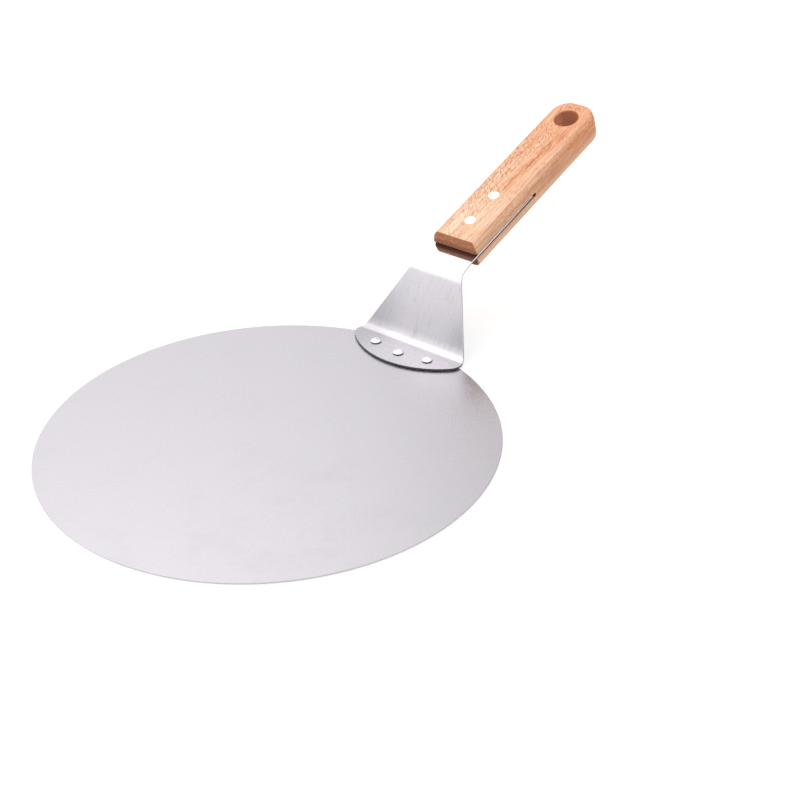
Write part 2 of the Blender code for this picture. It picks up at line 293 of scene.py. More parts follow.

# A sheared edge is bright where the blade of the shear slid, and dark below, where the steel tore;
# the bright tint also paints a highlight and the dark tint paints shade
burnish_and_highlight_tint = 1.25
tear_and_shade_tint = 0.22
tear_and_shade_top = 0.3
burnish_and_highlight_foot = 0.5
sheared_roughness = 0.15
black = (0, 0, 0)

# Where the neck is darker, by X and Z: low on its left and at its lower right edge, and, as painted
# shade, faintly over the whole lower half of its slope. Higher up, it is more polished
left_dark_start, left_dark_full = -0.008, -0.034
right_dark_start, right_dark_full = 0.016, 0.034
right_dark_foot = 0.012
side_dark_top, side_dark_foot = 0.036, 0.008
side_dark_share = 0.23
low_shade_top, low_shade_full, low_shade_foot = 0.03, 0.014, 0.005
low_shade_share = 0.085
polish_start, polish_full = 0.03, 0.044
polish_depth = 0.15

# Painted shade round the foot of a rivet's dome, by Z
dome_foot = 0.0026
dome_shade_height = 0.0007
dome_shade_share = 0.6


def no_darkening(tree, parts):
    """The same everywhere: neither darker nor more polished."""
    return 0.0, 0.0


def neck_darkening(tree, parts):
    """The neck is darker low at both its sides, with painted shade faintly over its slope's lower
    half, and more polished at the tang.
    """
    x, z = parts["X"], parts["Z"]
    left = mapped(tree, x, left_dark_start, left_dark_full)
    right = mapped(tree, x, right_dark_start, right_dark_full)
    above = mapped(tree, z, flange_edge_top, right_dark_foot)
    sides = math_node(tree, "MAXIMUM", left, math_node(tree, "MULTIPLY", right, above))
    low = mapped(tree, z, side_dark_top, side_dark_foot, 0.0, side_dark_share)
    polish = mapped(tree, z, polish_start, polish_full, 0.0, polish_depth)
    # A faint painted shade over the lower half of the slope, above the flange
    low_shade = mapped(tree, z, low_shade_top, low_shade_full, 0.0, low_shade_share)
    low_shade = math_node(tree, "MULTIPLY", low_shade, mapped(tree, z, flange_edge_top, low_shade_foot))
    return math_node(tree, "MULTIPLY_ADD", sides, low, low_shade), polish


def dome_foot_shade(tree, parts):
    """A rivet's dome gets painted shade round its foot."""
    return mapped(tree, parts["Z"], dome_foot + dome_shade_height, dome_foot, 0.0, dome_shade_share), 0.0


def steel(name, colour, look, groups, darkening=no_darkening):
    """Steel with a drawn grain, smudges, faint handling marks, a darkening that holds painted shade,
    and sheared edges whose tints also paint a highlight and shade.
    """
    material, tree, shader, place = start_material(name)
    here = place.outputs["Object"]
    dark_mask, polish = darkening(tree, node(tree, "ShaderNodeSeparateXYZ", {0: here}).outputs)
    grain = place_group(tree, groups["grain"], {"Vector": here, "Lines per metre": look.lines})
    smudge = {"Vector": here, "Lines per metre": look.smudges, "Low": smudge_low, "High": smudge_high}
    smudges = place_group(tree, groups["grain"], smudge)
    marks = place_group(tree, groups["handling"], {"Vector": here})
    edge = node(tree, "ShaderNodeAttribute", attribute_name="cut_edge").outputs["Fac"]
    height = node(tree, "ShaderNodeAttribute", attribute_name="edge_height").outputs["Fac"]
    shade = mix_colour(tree, grain, tinted(colour, 1 - look.grain_shade), tinted(colour))
    # Smudges and handling marks are the steel's own; the darkening laid on last holds the painted shade
    for mask, strength in ((smudges, look.smudge_shade), (marks, look.marks_shade), (dark_mask, 1.0)):
        shade = laid_over(tree, shade, mask, strength, black)
    # The edge's colour: burnish with a painted highlight above, tear with painted shade below
    burnish_and_highlight = mapped(tree, height, tear_and_shade_top, burnish_and_highlight_foot)
    sheared = mix_colour(tree, burnish_and_highlight, tinted(colour, tear_and_shade_tint), tinted(colour, burnish_and_highlight_tint))
    shade = mix_colour(tree, edge, shade, sheared)
    tree.links.new(shade, shader.inputs["Base Color"])
    spread = look.roughness * grain_roughness_share
    rough = mapped(tree, grain, 0.0, 1.0, look.roughness + spread, look.roughness - spread)
    rough = math_node(tree, "SUBTRACT", rough, polish)
    rough = math_node(tree, "MULTIPLY_ADD", marks, marks_roughness, rough)
    rough = math_node(tree, "MULTIPLY_ADD", edge, sheared_roughness, rough)
    tree.links.new(rough, shader.inputs["Roughness"])
    shader.inputs["Metallic"].default_value = 1.0
    dents = node(tree, "ShaderNodeBump", {"Distance": look.depth, "Height": grain})
    tree.links.new(dents.outputs[0], shader.inputs["Normal"])
    return material


# The wood's growth rings, in metres along the handle's own axes
pith_offset = (0.004, -0.004, 0.03)
ring_stretch = (1, 0.1, 1)
ring_spacing = 0.0031
ring_wander = 0.007
ring_low = -0.6
wander_lines = (60, 9, 60)
wander_detail = 3.0

# The wood's drawn grains: their lines per metre across, along and up through the handle, their
# detail, and the noise values at which their masks start and are full
DrawnGrain = namedtuple("DrawnGrain", "lines detail low high")
fibre_grain = DrawnGrain((1100, 50, 1100), 5.0, 0.35, 0.65)
streak_grain = DrawnGrain((420, 16, 420), 4.0, 0.46, 0.62)
heart_grain = DrawnGrain((1250, 90, 1250), 3.0, 0.47, 0.56)
pore_grain = DrawnGrain((1150, 300, 1150), 2.0, 0.48, 0.6)
patch_grain = DrawnGrain((170, 60, 170), 2.0, 0.3, 0.52)
side_grain = DrawnGrain((700, 22, 700), 4.0, 0.48, 0.62)

# How deep the wood's tone is along the handle, and the pale band beside the heart streak
pale_end = -0.045
warm_end = 0.05
warm_depth = 0.76
pale_band_line = 0.0095
pale_band_half = 0.004
pale_band_end = 0.04
pale_band_depth = 1.0

# The heart streak: where it crosses the handle's middle, how it leans, and its reach
heart_line = 0.0035
heart_lean = 0.075
heart_half_width = 0.005
heart_wander = 0.003
heart_start = -0.03
heart_end = 0.056
heart_fade = 0.02

# The short pores: how they lean, and how they thin out toward the right and toward the front
pore_lean = 0.4
pore_side = -0.008
plain_side = 0.009
plain_share = 0.45
pore_start, pore_full = -0.055, -0.01
front_pore_share = 0.6

# The wood's surface: how rough and how shiny it is, and what the fibre and the pores add
wood_roughness = 0.44
wood_specular = 0.25
fibre_roughness = 0.12
fibre_depth = 0.00002
pore_depth_share = -1.5

# How strongly each part of the figure, and each painted shade and bounce light, shows
ring_strength = 0.25
streak_strength = 0.45
fibre_strength = 0.32
heart_tone_strength = 0.85
heart_strength = 0.95
pore_strength = 0.95
side_line_strength = 0.35
hole_strength = 0.55
under_strength = 0.75
side_bounce_strength = 0.56

# Which faces lie along the sides, and which are cut across the grain, by their normals
side_from, side_to = 0.6, 0.9
front_from, front_to = -0.25, -0.7
far_from, far_to = 0.3, 1.2
far_share = 0.5

# By height from the handle's middle: the painted bounce light on the foot of its sides,
# and the painted shade low on its front
side_bounce_start, side_bounce_full = -0.0008, -0.0046
under_start, under_full = 0.0045, -0.0005

# The hanging hole's wall: its place along the handle, its radius and how softly it starts there,
# and how much the normals of the rim and the wall point up
hole_place = 0.0548
hole_radius = 0.0081
hole_blend = 0.0004
hole_rim_up, hole_wall_up = 0.9, 0.5


def handle_axes(tree, place):
    """Coordinates from the handle's middle: X across it, Y along it and Z up through it."""
    turned = Matrix.Rotation(-handle_tilt, 4, "X")
    settings = {
        "Vector": place.outputs["Object"],
        "Rotation": (-handle_tilt, 0, 0),
        "Location": -(turned @ handle_middle),
    }
    return node(tree, "ShaderNodeMapping", settings).outputs[0]


def drawn_grain(tree, groups, vector, grain):
    """The mask of one of the wood's drawn grains."""
    inputs = {
        "Vector": vector,
        "Lines per metre": grain.lines,
        "Detail": grain.detail,
        "Low": grain.low,
        "High": grain.high,
    }
    return place_group(tree, groups["grain"], inputs)


def growth_rings(tree, local, wander):
    """Long shells round a pith that lies below the handle, as a wave between dark and pale."""
    shell = vector_node(tree, "MULTIPLY_ADD", local, ring_stretch, pith_offset)
    radius = vector_node(tree, "LENGTH", shell, (0, 0, 0), output="Value")
    drift = math_node(tree, "MULTIPLY_ADD", wander, ring_wander, radius)
    rings = math_node(tree, "SINE", math_node(tree, "MULTIPLY", drift, math.tau / ring_spacing))
    return mapped(tree, rings, ring_low, 1.0)


def heart_band(tree, parts, wander):
    """Where the redder heartwood runs: a leaning band from the rear rivet toward the hanging hole."""
    x, y = parts["X"], parts["Y"]
    line = math_node(tree, "MULTIPLY_ADD", y, heart_lean, heart_line)
    drift = math_node(tree, "MULTIPLY_ADD", wander, heart_wander, -heart_wander / 2)
    across = math_node(tree, "ADD", math_node(tree, "SUBTRACT", x, line), drift)
    inside = mapped(tree, math_node(tree, "ABSOLUTE", across), heart_half_width, 0.0)
    started = mapped(tree, y, heart_start, heart_start + heart_fade)
    ended = mapped(tree, y, heart_end, heart_end - heart_fade)
    return math_node(tree, "MULTIPLY", inside, math_node(tree, "MULTIPLY", started, ended))


def wood_depth(tree, parts):
    """How deep the wood's tone is: deeper toward the far end, but for a pale band on the right."""
    deeper = mapped(tree, parts["Y"], pale_end, warm_end, 0.0, warm_depth, "LINEAR")
    across = math_node(tree, "ABSOLUTE", math_node(tree, "SUBTRACT", parts["X"], pale_band_line))
    band = mapped(tree, across, pale_band_half, 0.0, 0.0, pale_band_depth)
    ended = mapped(tree, parts["Y"], pale_band_end, 0.0)
    kept = math_node(tree, "SUBTRACT", 1.0, math_node(tree, "MULTIPLY", band, ended))
    return math_node(tree, "MULTIPLY", deeper, kept)


def cut_across(tree, along):
    """How far a face cuts across the grain: fully at the front, partly round the end."""
    front = mapped(tree, along, front_from, front_to)
    far = mapped(tree, along, far_from, far_to, 0.0, far_share)
    return math_node(tree, "MAXIMUM", front, far)


def hole_wall(tree, parts, normal):
    """The wall of the hanging hole, where shade is painted darker than the wood outside."""
    from_hole = math_node(tree, "SUBTRACT", parts["Y"], hole_place)
    flat = node(tree, "ShaderNodeCombineXYZ", {"X": parts["X"], "Y": from_hole}).outputs[0]
    away = vector_node(tree, "LENGTH", flat, (0, 0, 0), output="Value")
    upward = vector_node(tree, "DOT_PRODUCT", normal, handle_up, output="Value")
    upward = math_node(tree, "ABSOLUTE", upward)
    near = mapped(tree, away, hole_radius + hole_blend, hole_radius)
    return math_node(tree, "MULTIPLY", near, mapped(tree, upward, hole_rim_up, hole_wall_up))


def wood_figure(tree, local, parts, colours, groups):
    """The wood's colour with its whole figure, and the masks of its fibre and its pores."""
    x, y, z = parts
    across = math_node(tree, "MULTIPLY_ADD", y, pore_lean, x)
    leaning = node(tree, "ShaderNodeCombineXYZ", {"X": across, "Y": y, "Z": z}).outputs[0]
    wandering = vector_node(tree, "MULTIPLY", local, wander_lines)
    settings = {"Vector": wandering, "Scale": 1.0, "Detail": wander_detail}
    wander = node(tree, "ShaderNodeTexNoise", settings).outputs["Fac"]
    fibre = drawn_grain(tree, groups, local, fibre_grain)
    streaks = drawn_grain(tree, groups, local, streak_grain)
    heart = heart_band(tree, parts, wander)
    lines = math_node(tree, "MULTIPLY", heart, drawn_grain(tree, groups, local, heart_grain))
    pores = drawn_grain(tree, groups, leaning, pore_grain)
    patches = drawn_grain(tree, groups, local, patch_grain)
    sided = mapped(tree, x, plain_side, pore_side, plain_share, 1.0)
    thinned = mapped(tree, y, pore_start, pore_full, front_pore_share, 1.0)
    for mask in (patches, sided, thinned):
        pores = math_node(tree, "MULTIPLY", pores, mask)
    layers = (
        (wood_depth(tree, parts), 1.0, colours.wood_warm),
        (growth_rings(tree, local, wander), ring_strength, colours.wood_warm),
        (streaks, streak_strength, colours.wood_warm),
        (fibre, fibre_strength, colours.wood_heart),
        (heart, heart_tone_strength, colours.wood_warm),
        (lines, heart_strength, colours.wood_heart),
        (pores, pore_strength, colours.wood_pore),
    )
    shade = tinted(colours.wood_pale)
    for mask, strength, colour in layers:
        shade = laid_over(tree, shade, mask, strength, colour)
    return shade, fibre, pores


def oiled_wood(colours, groups):
    """Oiled hardwood, deepest where it is cut across (end grain with painted shade), with painted
    shade on its sides, low on its front, in the hanging hole and in the kerf, and painted bounce
    light on the foot of its sides.
    """
    material, tree, shader, place = start_material("oiled_wood")
    local = handle_axes(tree, place)
    parts = node(tree, "ShaderNodeSeparateXYZ", {0: local}).outputs
    shade, fibre, pores = wood_figure(tree, local, parts, colours, groups)

    normal = place.outputs["Normal"]
    sideways = node(tree, "ShaderNodeSeparateXYZ", {0: normal}).outputs["X"]
    on_side = mapped(tree, math_node(tree, "ABSOLUTE", sideways), side_from, side_to)
    # Painted shade: the sides are tinted deeper than the top
    shaded_side = mix_colour(tree, 1.0, shade, tinted(colours.side_shade), "MULTIPLY")
    shade = mix_colour(tree, on_side, shade, shaded_side)
    side_lines = math_node(tree, "MULTIPLY", drawn_grain(tree, groups, local, side_grain), on_side)
    shade = laid_over(tree, shade, side_lines, side_line_strength, colours.wood_heart)
    # Painted bounce light: the foot of the sides is paler and greyer
    side_bounce = mapped(tree, parts["Z"], side_bounce_start, side_bounce_full)
    side_bounce = math_node(tree, "MULTIPLY", side_bounce, on_side)
    shade = laid_over(tree, shade, side_bounce, side_bounce_strength, colours.side_bounce_light)
    along = vector_node(tree, "DOT_PRODUCT", normal, handle_axis, output="Value")
    # Where the wood is cut across: deeper end grain, with painted shade in the same tint
    end_grain_and_shade = mix_colour(tree, 1.0, shade, tinted(colours.wood_end), "MULTIPLY")
    shade = mix_colour(tree, cut_across(tree, along), shade, end_grain_and_shade)
    # Painted shade low on the front, just above the tang
    under = mapped(tree, parts["Z"], under_start, under_full)
    under = math_node(tree, "MULTIPLY", under, mapped(tree, along, front_from, front_to))
    shade = laid_over(tree, shade, under, under_strength, colours.kerf_shade)
    # Painted shade on the hanging hole's wall
    shade = laid_over(tree, shade, hole_wall(tree, parts, normal), hole_strength, colours.hole_shade)
    # The kerf's walls are painted shade, near black
    kerf = node(tree, "ShaderNodeAttribute", attribute_name="cut_edge").outputs["Fac"]
    shade = mix_colour(tree, kerf, shade, tinted(colours.kerf_shade))
    tree.links.new(shade, shader.inputs["Base Color"])

    rough = math_node(tree, "MULTIPLY_ADD", fibre, fibre_roughness, wood_roughness)
    tree.links.new(rough, shader.inputs["Roughness"])
    shader.inputs["Specular IOR Level"].default_value = wood_specular
    height = math_node(tree, "MULTIPLY_ADD", pores, pore_depth_share, fibre)
    dents = node(tree, "ShaderNodeBump", {"Distance": fibre_depth, "Height": height})
    tree.links.new(dents.outputs[0], shader.inputs["Normal"])
    return material


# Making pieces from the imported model


def merged_mesh(bm, *nodes):
    """Read CAD nodes into a bmesh and join their loose triangles."""
    for name in nodes:
        bm.from_mesh(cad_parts[name].data)
    bmesh.ops.remove_doubles(bm, verts=bm.verts, dist=weld_distance)
    bmesh.ops.dissolve_limit(bm, angle_limit=flat_angle, verts=bm.verts, edges=bm.edges)


def cut_through(bm, place, facing):
    """Cut a whole mesh through along a plane, and keep both sides."""
    everything = bm.verts[:] + bm.edges[:] + bm.faces[:]
    bmesh.ops.bisect_plane(bm, geom=everything, dist=weld_distance, plane_co=place, plane_no=facing)


def is_cut_edge_of_blade(face):
    return abs(face.normal.z) < edge_normal_share


def is_cut_edge_of_neck(face):
    centre = face.calc_center_median()
    sideways = abs(face.normal.x) > edge_normal_share
    upright = abs(face.normal.z) < edge_normal_share
    on_flange = centre.z < flange_edge_top and centre.y < heel_start
    return sideways or (on_flange and upright)


def is_kerf_wall_of_handle(face):
    centre = face.calc_center_median()
    at_middle = abs((centre - handle_rivet_rear).dot(handle_up)) < kerf_half_height
    ahead = (centre - handle_rivet_rear).dot(handle_axis) < kerf_past_rivet
    return at_middle and ahead and abs(face.normal.x) < edge_normal_share


# The neck's folds, softened


class Fold:
    """One fold of the neck's sheet, seen from the side, between two straight stretches."""

    def __init__(self, corner, heading, heading_after, slope_side, run_in):
        self.corner = corner
        self.slope_side = slope_side
        self.run_in_reach, self.run_in_depth = run_in
        self.stretches = {-1: -heading, 1: heading_after}
        self.half_turn = heading.angle(heading_after) / 2
        self.inward = (heading_after - heading).normalized()
        self.onward = (heading_after + heading).normalized()

    def trim(self, radius):
        """How far from the corner a fold of this radius starts."""
        return radius * math.tan(self.half_turn)

    def centre(self, radius):
        return self.corner + self.inward * radius / math.cos(self.half_turn)

    def measured(self, point, radius):
        """How far a point is along the sheet from the fold's middle, and inward of its centre line."""
        arm = point - self.centre(radius)
        turn = math.atan2(arm.dot(self.onward), -arm.dot(self.inward))
        if abs(turn) <= self.half_turn:
            return radius * turn, radius - arm.length
        side = 1 if turn > 0 else -1
        stretch = self.stretches[side]
        reach = point - self.corner
        square = (self.inward - stretch * self.inward.dot(stretch)).normalized()
        past = reach.dot(stretch) - self.trim(radius)
        return side * (radius * self.half_turn + past), reach.dot(square)

    def softened(self, point, radius, softer):
        """Where a point of the sheet goes when the fold's radius grows; the stretches stay in line."""
        along, inward = self.measured(point, radius)
        reach = radius * self.half_turn + self.trim(softer) - self.trim(radius)
        eased = self.inward * self.run_in(self.slope_side * along - reach)
        if abs(along) > reach:
            return point + eased
        turn = self.half_turn * along / reach
        arm = self.onward * math.sin(turn) - self.inward * math.cos(turn)
        return self.centre(softer) + arm * (softer - inward) + eased

    def run_in(self, past):
        """How far inward the sheet moves so that the slope runs gently into its fold."""
        if past > 0:
            return self.run_in_depth * max(1 - past / self.run_in_reach, 0) ** 2
        share = min(-past / run_in_fade, 1)
        # A cubic that goes on from the slope's own height and lean, and ends level
        run = 2 * self.run_in_depth * run_in_fade / self.run_in_reach
        return (self.run_in_depth * (1 + 2 * share) + run * share) * (1 - share) ** 2


def cut_across_sheet(bm, fold, radius, softer):
    """Cut the stretches beside a fold across, so that they can bend."""
    step = (fold.trim(softer) + fold.run_in_reach - fold.trim(radius)) / fold_cuts
    for stretch in fold.stretches.values():
        for i in range(1, fold_cuts + 1):
            y, z = fold.corner + stretch * (fold.trim(radius) + step * i)
            cut_through(bm, (0, y, z), (0, *stretch))


def soften_neck(bm):
    """Give both of the neck's folds their softer radius, and note each point's height in the sheet."""
    tang_heading = Vector((math.cos(handle_tilt), math.sin(handle_tilt)))
    heel = Fold(heel_corner, Vector((1, 0)), slope_heading, 1, heel_run_in)
    shoulder = Fold(shoulder_corner, slope_heading, tang_heading, -1, shoulder_run_in)
    cut_across_sheet(bm, heel, packed_heel_radius, soft_heel_radius)
    cut_across_sheet(bm, shoulder, packed_shoulder_radius, soft_shoulder_radius)
    edge_height = bm.verts.layers.float.new("edge_height")
    for vert in bm.verts:
        point = vert.co.yz
        if (point - heel_corner).dot(slope_heading) < slope_length / 2:
            along, upward = heel.measured(point, packed_heel_radius)
            # Under the flange's nose the edge's bright part is cut short: painted shade
            kept = 1 if along > 0 else nose_bright_share
            point = heel.softened(point, packed_heel_radius, soft_heel_radius)
        else:
            along, inward = shoulder.measured(point, packed_shoulder_radius)
            upward = -inward
            # Toward the tang's far end, deep in the kerf, the bright part shrinks: painted shade
            kept = 1 - (1 - tang_bright_share) * max(along, 0) / tang_length
            point = shoulder.softened(point, packed_shoulder_radius, soft_shoulder_radius)
        vert.co.yz = point
        vert[edge_height] = (0.5 + 0.5 * upward / sheet_half) * kept


def note_blade_height(bm):
    """Note each point's height in the blade's sheet, from 0 at its underside to 1 at its top."""
    edge_height = bm.verts.layers.float.new("edge_height")
    top = max(vert.co.z for vert in bm.verts)
    for vert in bm.verts:
        vert[edge_height] = vert.co.z / top


def open_kerf_mouth(bm):
    """Take the wood's corners off where the kerf opens at the handle's front."""
    for side in (-1, 1):
        cut_through(bm, handle_middle + handle_up * mouth_height * side, handle_up)
    front = min((vert.co - handle_middle).dot(handle_axis) for vert in bm.verts)
    for vert in bm.verts:
        arm = vert.co - handle_middle
        if abs(arm.dot(handle_up)) < mouth_edge and arm.dot(handle_axis) < front + mouth_reach:
            vert.co += handle_axis * mouth_setback


def close_rivet_seats(bm):
    """Draw the seats of the handle's rivet heads in, so that the wood meets the heads."""
    for rivet in (handle_rivet_front, handle_rivet_rear):
        for vert in bm.verts:
            arm = vert.co - rivet
            out = arm - handle_up * arm.dot(handle_up)
            if rivet_seat_inner < out.length < rivet_seat_outer:
                vert.co -= out * (1 - rivet_seat_radius / out.length)


def finish_handle(bm):
    """Open the kerf's mouth and close the rivet seats."""
    open_kerf_mouth(bm)
    close_rivet_seats(bm)


def add_piece(name, mesh, material, nodes, angle):
    """Make a finished piece: smooth where it is round, on the root body, in place of its CAD nodes."""
    mesh.materials.clear()
    mesh.materials.append(material)
    mesh.shade_smooth()
    mesh.set_sharp_from_angle(angle=angle)
    piece = bpy.data.objects.new(name, mesh)
    bpy.context.scene.collection.objects.link(piece)
    even = piece.modifiers.new("even shading", "WEIGHTED_NORMAL")
    even.keep_sharp = True
    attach(piece, "root")
    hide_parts(*nodes)
    return piece


def marked_piece(name, node_name, material, is_edge, angle, reshape):
    """A piece whose cut edges carry a mark that its finish reads."""
    bm = bmesh.new()
    merged_mesh(bm, node_name)
    reshape(bm)
    bm.normal_update()
    marks = [float(is_edge(face)) for face in bm.faces]
    mesh = bpy.data.meshes.new(name)
    bm.to_mesh(mesh)
    bm.free()
    mesh.attributes.new("cut_edge", "FLOAT", "FACE").data.foreach_set("value", marks)
    return add_piece(name, mesh, material, [node_name], angle)


# Rivets: one rivet's mesh, set out in a row by geometry nodes


def rivet_row_group():
    """Copy the modifier's own mesh, one rivet, along a row whose outer rivets may sit further back."""
    group, given, result = new_group(
        "Rivet row",
        "GeometryNodeTree",
        [
            ("Rivet", "NodeSocketGeometry", None),
            ("Count", "NodeSocketInt", 3),
            ("Step", "NodeSocketVector", (0.02, 0, 0)),
            ("Bow", "NodeSocketFloat", 0.0),
            ("Spread", "NodeSocketFloat", 1.0),
            ("Tilt", "NodeSocketFloat", 0.0),
            ("Place", "NodeSocketVector", (0, 0, 0)),
            ("Finish", "NodeSocketMaterial", None),
        ],
        [("Rivets", "NodeSocketGeometry")],
    )
    gaps = math_node(group, "SUBTRACT", given["Count"], 1.0)
    half = math_node(group, "MULTIPLY", gaps, -0.5)
    step = given["Step"]
    start = node(group, "ShaderNodeVectorMath", {0: step, "Scale": half}, operation="SCALE")
    settings = {"Count": given["Count"], "Start Location": start.outputs[0], "Offset": step}
    line = node(group, "GeometryNodeMeshLine", settings, mode="OFFSET", count_mode="TOTAL")
    # From 1 at the first rivet to -1 at the last, squared and times the bow
    index = node(group, "GeometryNodeInputIndex").outputs[0]
    share = math_node(group, "DIVIDE", math_node(group, "ADD", index, half), half)
    back = math_node(group, "MULTIPLY", math_node(group, "POWER", share, 2.0), given["Bow"])
    back = node(group, "ShaderNodeCombineXYZ", {"Y": back}).outputs[0]
    moved = node(group, "GeometryNodeSetPosition", {"Geometry": line.outputs[0], "Offset": back})
    spread = given["Spread"]
    width = node(group, "ShaderNodeCombineXYZ", {"X": spread, "Y": spread, "Z": 1.0}).outputs[0]
    settings = {"Points": moved.outputs[0], "Instance": given["Rivet"], "Scale": width}
    copies = node(group, "GeometryNodeInstanceOnPoints", settings)
    real = node(group, "GeometryNodeRealizeInstances", {"Geometry": copies.outputs[0]})
    turn = node(group, "ShaderNodeCombineXYZ", {"X": given["Tilt"]})
    place = given["Place"]
    settings = {"Geometry": real.outputs[0], "Translation": place, "Rotation": turn.outputs[0]}
    placed = node(group, "GeometryNodeTransform", settings)
    settings = {"Geometry": placed.outputs[0], "Material": given["Finish"]}
    finish = node(group, "GeometryNodeSetMaterial", settings)
    group.links.new(finish.outputs[0], result.inputs["Rivets"])
    return group


def one_rivet(name, nodes, centre, tilt):
    """One rivet's merged mesh, upright, with its middle at the origin."""
    bm = bmesh.new()
    merged_mesh(bm, *nodes)
    upright = Matrix.Rotation(-tilt, 4, "X") @ Matrix.Translation(-centre)
    bmesh.ops.transform(bm, matrix=upright, verts=bm.verts)
    mesh = bpy.data.meshes.new(name)
    bm.to_mesh(mesh)
    bm.free()
    return mesh


def rivet_row(name, mesh, settings, material, nodes):
    """Run the row's geometry nodes on one rivet and keep the result as a plain mesh."""
    carrier = bpy.data.objects.new(name + "_row", mesh)
    bpy.context.scene.collection.objects.link(carrier)
    group = rivet_row_group()
    modifier = carrier.modifiers.new("rivet row", "NODES")
    modifier.node_group = group
    sockets = [item for item in group.interface.items_tree if item.in_out == "INPUT"]
    identifiers = {socket.name: socket.identifier for socket in sockets}
    for label, value in {**settings, "Finish": material}.items():
        modifier[identifiers[label]] = value
    graph = bpy.context.evaluated_depsgraph_get()
    made = bpy.data.meshes.new_from_object(carrier.evaluated_get(graph))
    made.name = name
    bpy.data.objects.remove(carrier)
    return add_piece(name, made, material, nodes, smooth_angle)


# What a user would change


def colour_property(name, description, default):
    return bpy.props.FloatVectorProperty(
        name=name, description=description, subtype="COLOR", default=default, min=0, max=1
    )


def length_property(name, description, default, **limits):
    return bpy.props.FloatProperty(
        name=name, description=description, default=default, unit="LENGTH", **limits
    )


def share_property(name, description, default):
    return bpy.props.FloatProperty(
        name=name, description=description, default=default, subtype="FACTOR", min=0.8, max=1.2
    )


def glow_property(name, description, default):
    return bpy.props.FloatProperty(
        name=name, description=description, default=default, min=0, max=3
    )


class LifterColours(bpy.types.PropertyGroup):
    blade_steel: colour_property("Blade steel", "The blade's satin sheet", (0.61, 0.585, 0.62))
    neck_steel: colour_property("Neck steel", "The neck's brushed sheet", (0.665, 0.637, 0.675))
    rivet_steel: colour_property("Rivet steel", "The blade's polished rivets", (0.99, 0.98, 1.0))
    handle_rivet_metal: colour_property("Handle rivets", "The handle's flush rivets", (0.95, 0.95, 0.96))
    wood_pale: colour_property("Pale wood", "The wood near the handle's front", (0.985, 0.765, 0.56))
    wood_warm: colour_property("Warm wood", "The far end, the rings and the streaks", (0.90, 0.445, 0.24))
    wood_heart: colour_property("Heartwood", "The redder streak and the fibre", (0.50, 0.13, 0.05))
    wood_pore: colour_property("Pores", "The short dark pores along the grain", (0.62, 0.21, 0.08))
    # Painted shade on the handle's sides
    side_shade: colour_property("Side tint", "What deepens the handle's sides", (0.98, 0.87, 0.77))
    # Painted bounce light on the foot of the handle's sides
    side_bounce_light: colour_property("Side foot", "The greyer foot of the handle's sides", (0.92, 0.63, 0.445))
    # End grain, with painted shade in the same tint
    wood_end: colour_property("End tint", "What deepens wood that is cut across", (0.52, 0.31, 0.23))
    # Painted shade on the hanging hole's wall
    hole_shade: colour_property("Hanging hole", "The duller wall of the hanging hole", (0.66, 0.34, 0.20))
    # Painted shade in the kerf and low on the handle's front
    kerf_shade: colour_property("Kerf", "The oil-dark walls of the saw kerf", (0.10, 0.05, 0.03))


class LifterSizes(bpy.types.PropertyGroup):
    blade_rivet_step: length_property(
        "Blade rivet step", "From one of the blade's rivets to the next", rivet_right.x, min=0
    )
    blade_rivet_bow: length_property(
        "Blade rivet bow", "How far back the outer rivets sit", rivet_right.y - rivet_middle.y
    )
    handle_rivet_step: length_property(
        "Handle rivet step",
        "From the handle's front rivet to its rear one",
        (handle_rivet_rear - handle_rivet_front).length,
        min=0,
    )
    handle_rivet_share: share_property(
        "Handle rivet share", "Width of the handle's rivets, as a share of the packed ones", 0.965
    )
    blade_rivet_share: share_property(
        "Blade rivet share", "Width of the blade's rivets, as a share of the packed ones", 1.08
    )


class StudioLight(bpy.types.PropertyGroup):
    lamp_power: bpy.props.FloatProperty(
        name="Lamp power",
        description="Power of the soft lamp over the lifter",
        default=2,
        min=0,
        unit="POWER",
    )
    lamp_side: length_property("Lamp side", "Length of the soft lamp's sides", 1.2, min=0.1)
    dim_wall: glow_property("Dim wall", "Brightness of the wall on the lifter's right", 0.25)
    bright_wall: glow_property("Bright wall", "Brightness of the wall on the lifter's left", 0.98)
    ceiling: glow_property("Ceiling", "What the studio's ceiling adds to its walls", 0.93)


# One operator for each piece or row of rivets


def shared_groups():
    """The effects that several finishes use, built once."""
    kept = bpy.data.node_groups
    return {
        "grain": kept.get("Drawn grain") or grain_group(),
        "handling": kept.get("Handling marks") or handling_group(),
    }


class LIFTER_OT_blade(bpy.types.Operator):
    """Dress the blade in satin steel"""

    bl_idname = "lifter.blade"
    bl_label = "Blade"

    def execute(self, context):
        colour = context.scene.lifter_colours.blade_steel
        finish = steel("satin_steel", colour, satin_sheet, shared_groups())
        marked_piece(
            "blade_sheet",
            "blade",
            finish,
            is_cut_edge_of_blade,
            edge_smooth_angle,
            note_blade_height,
        )
        return {"FINISHED"}


class LIFTER_OT_neck(bpy.types.Operator):
    """Dress the folded neck in brushed steel"""

    bl_idname = "lifter.neck"
    bl_label = "Neck"

    def execute(self, context):
        colour = context.scene.lifter_colours.neck_steel
        finish = steel("brushed_steel", colour, brushed_sheet, shared_groups(), neck_darkening)
        marked_piece(
            "neck_sheet",
            "neck",
            finish,
            is_cut_edge_of_neck,
            edge_smooth_angle,
            soften_neck,
        )
        return {"FINISHED"}


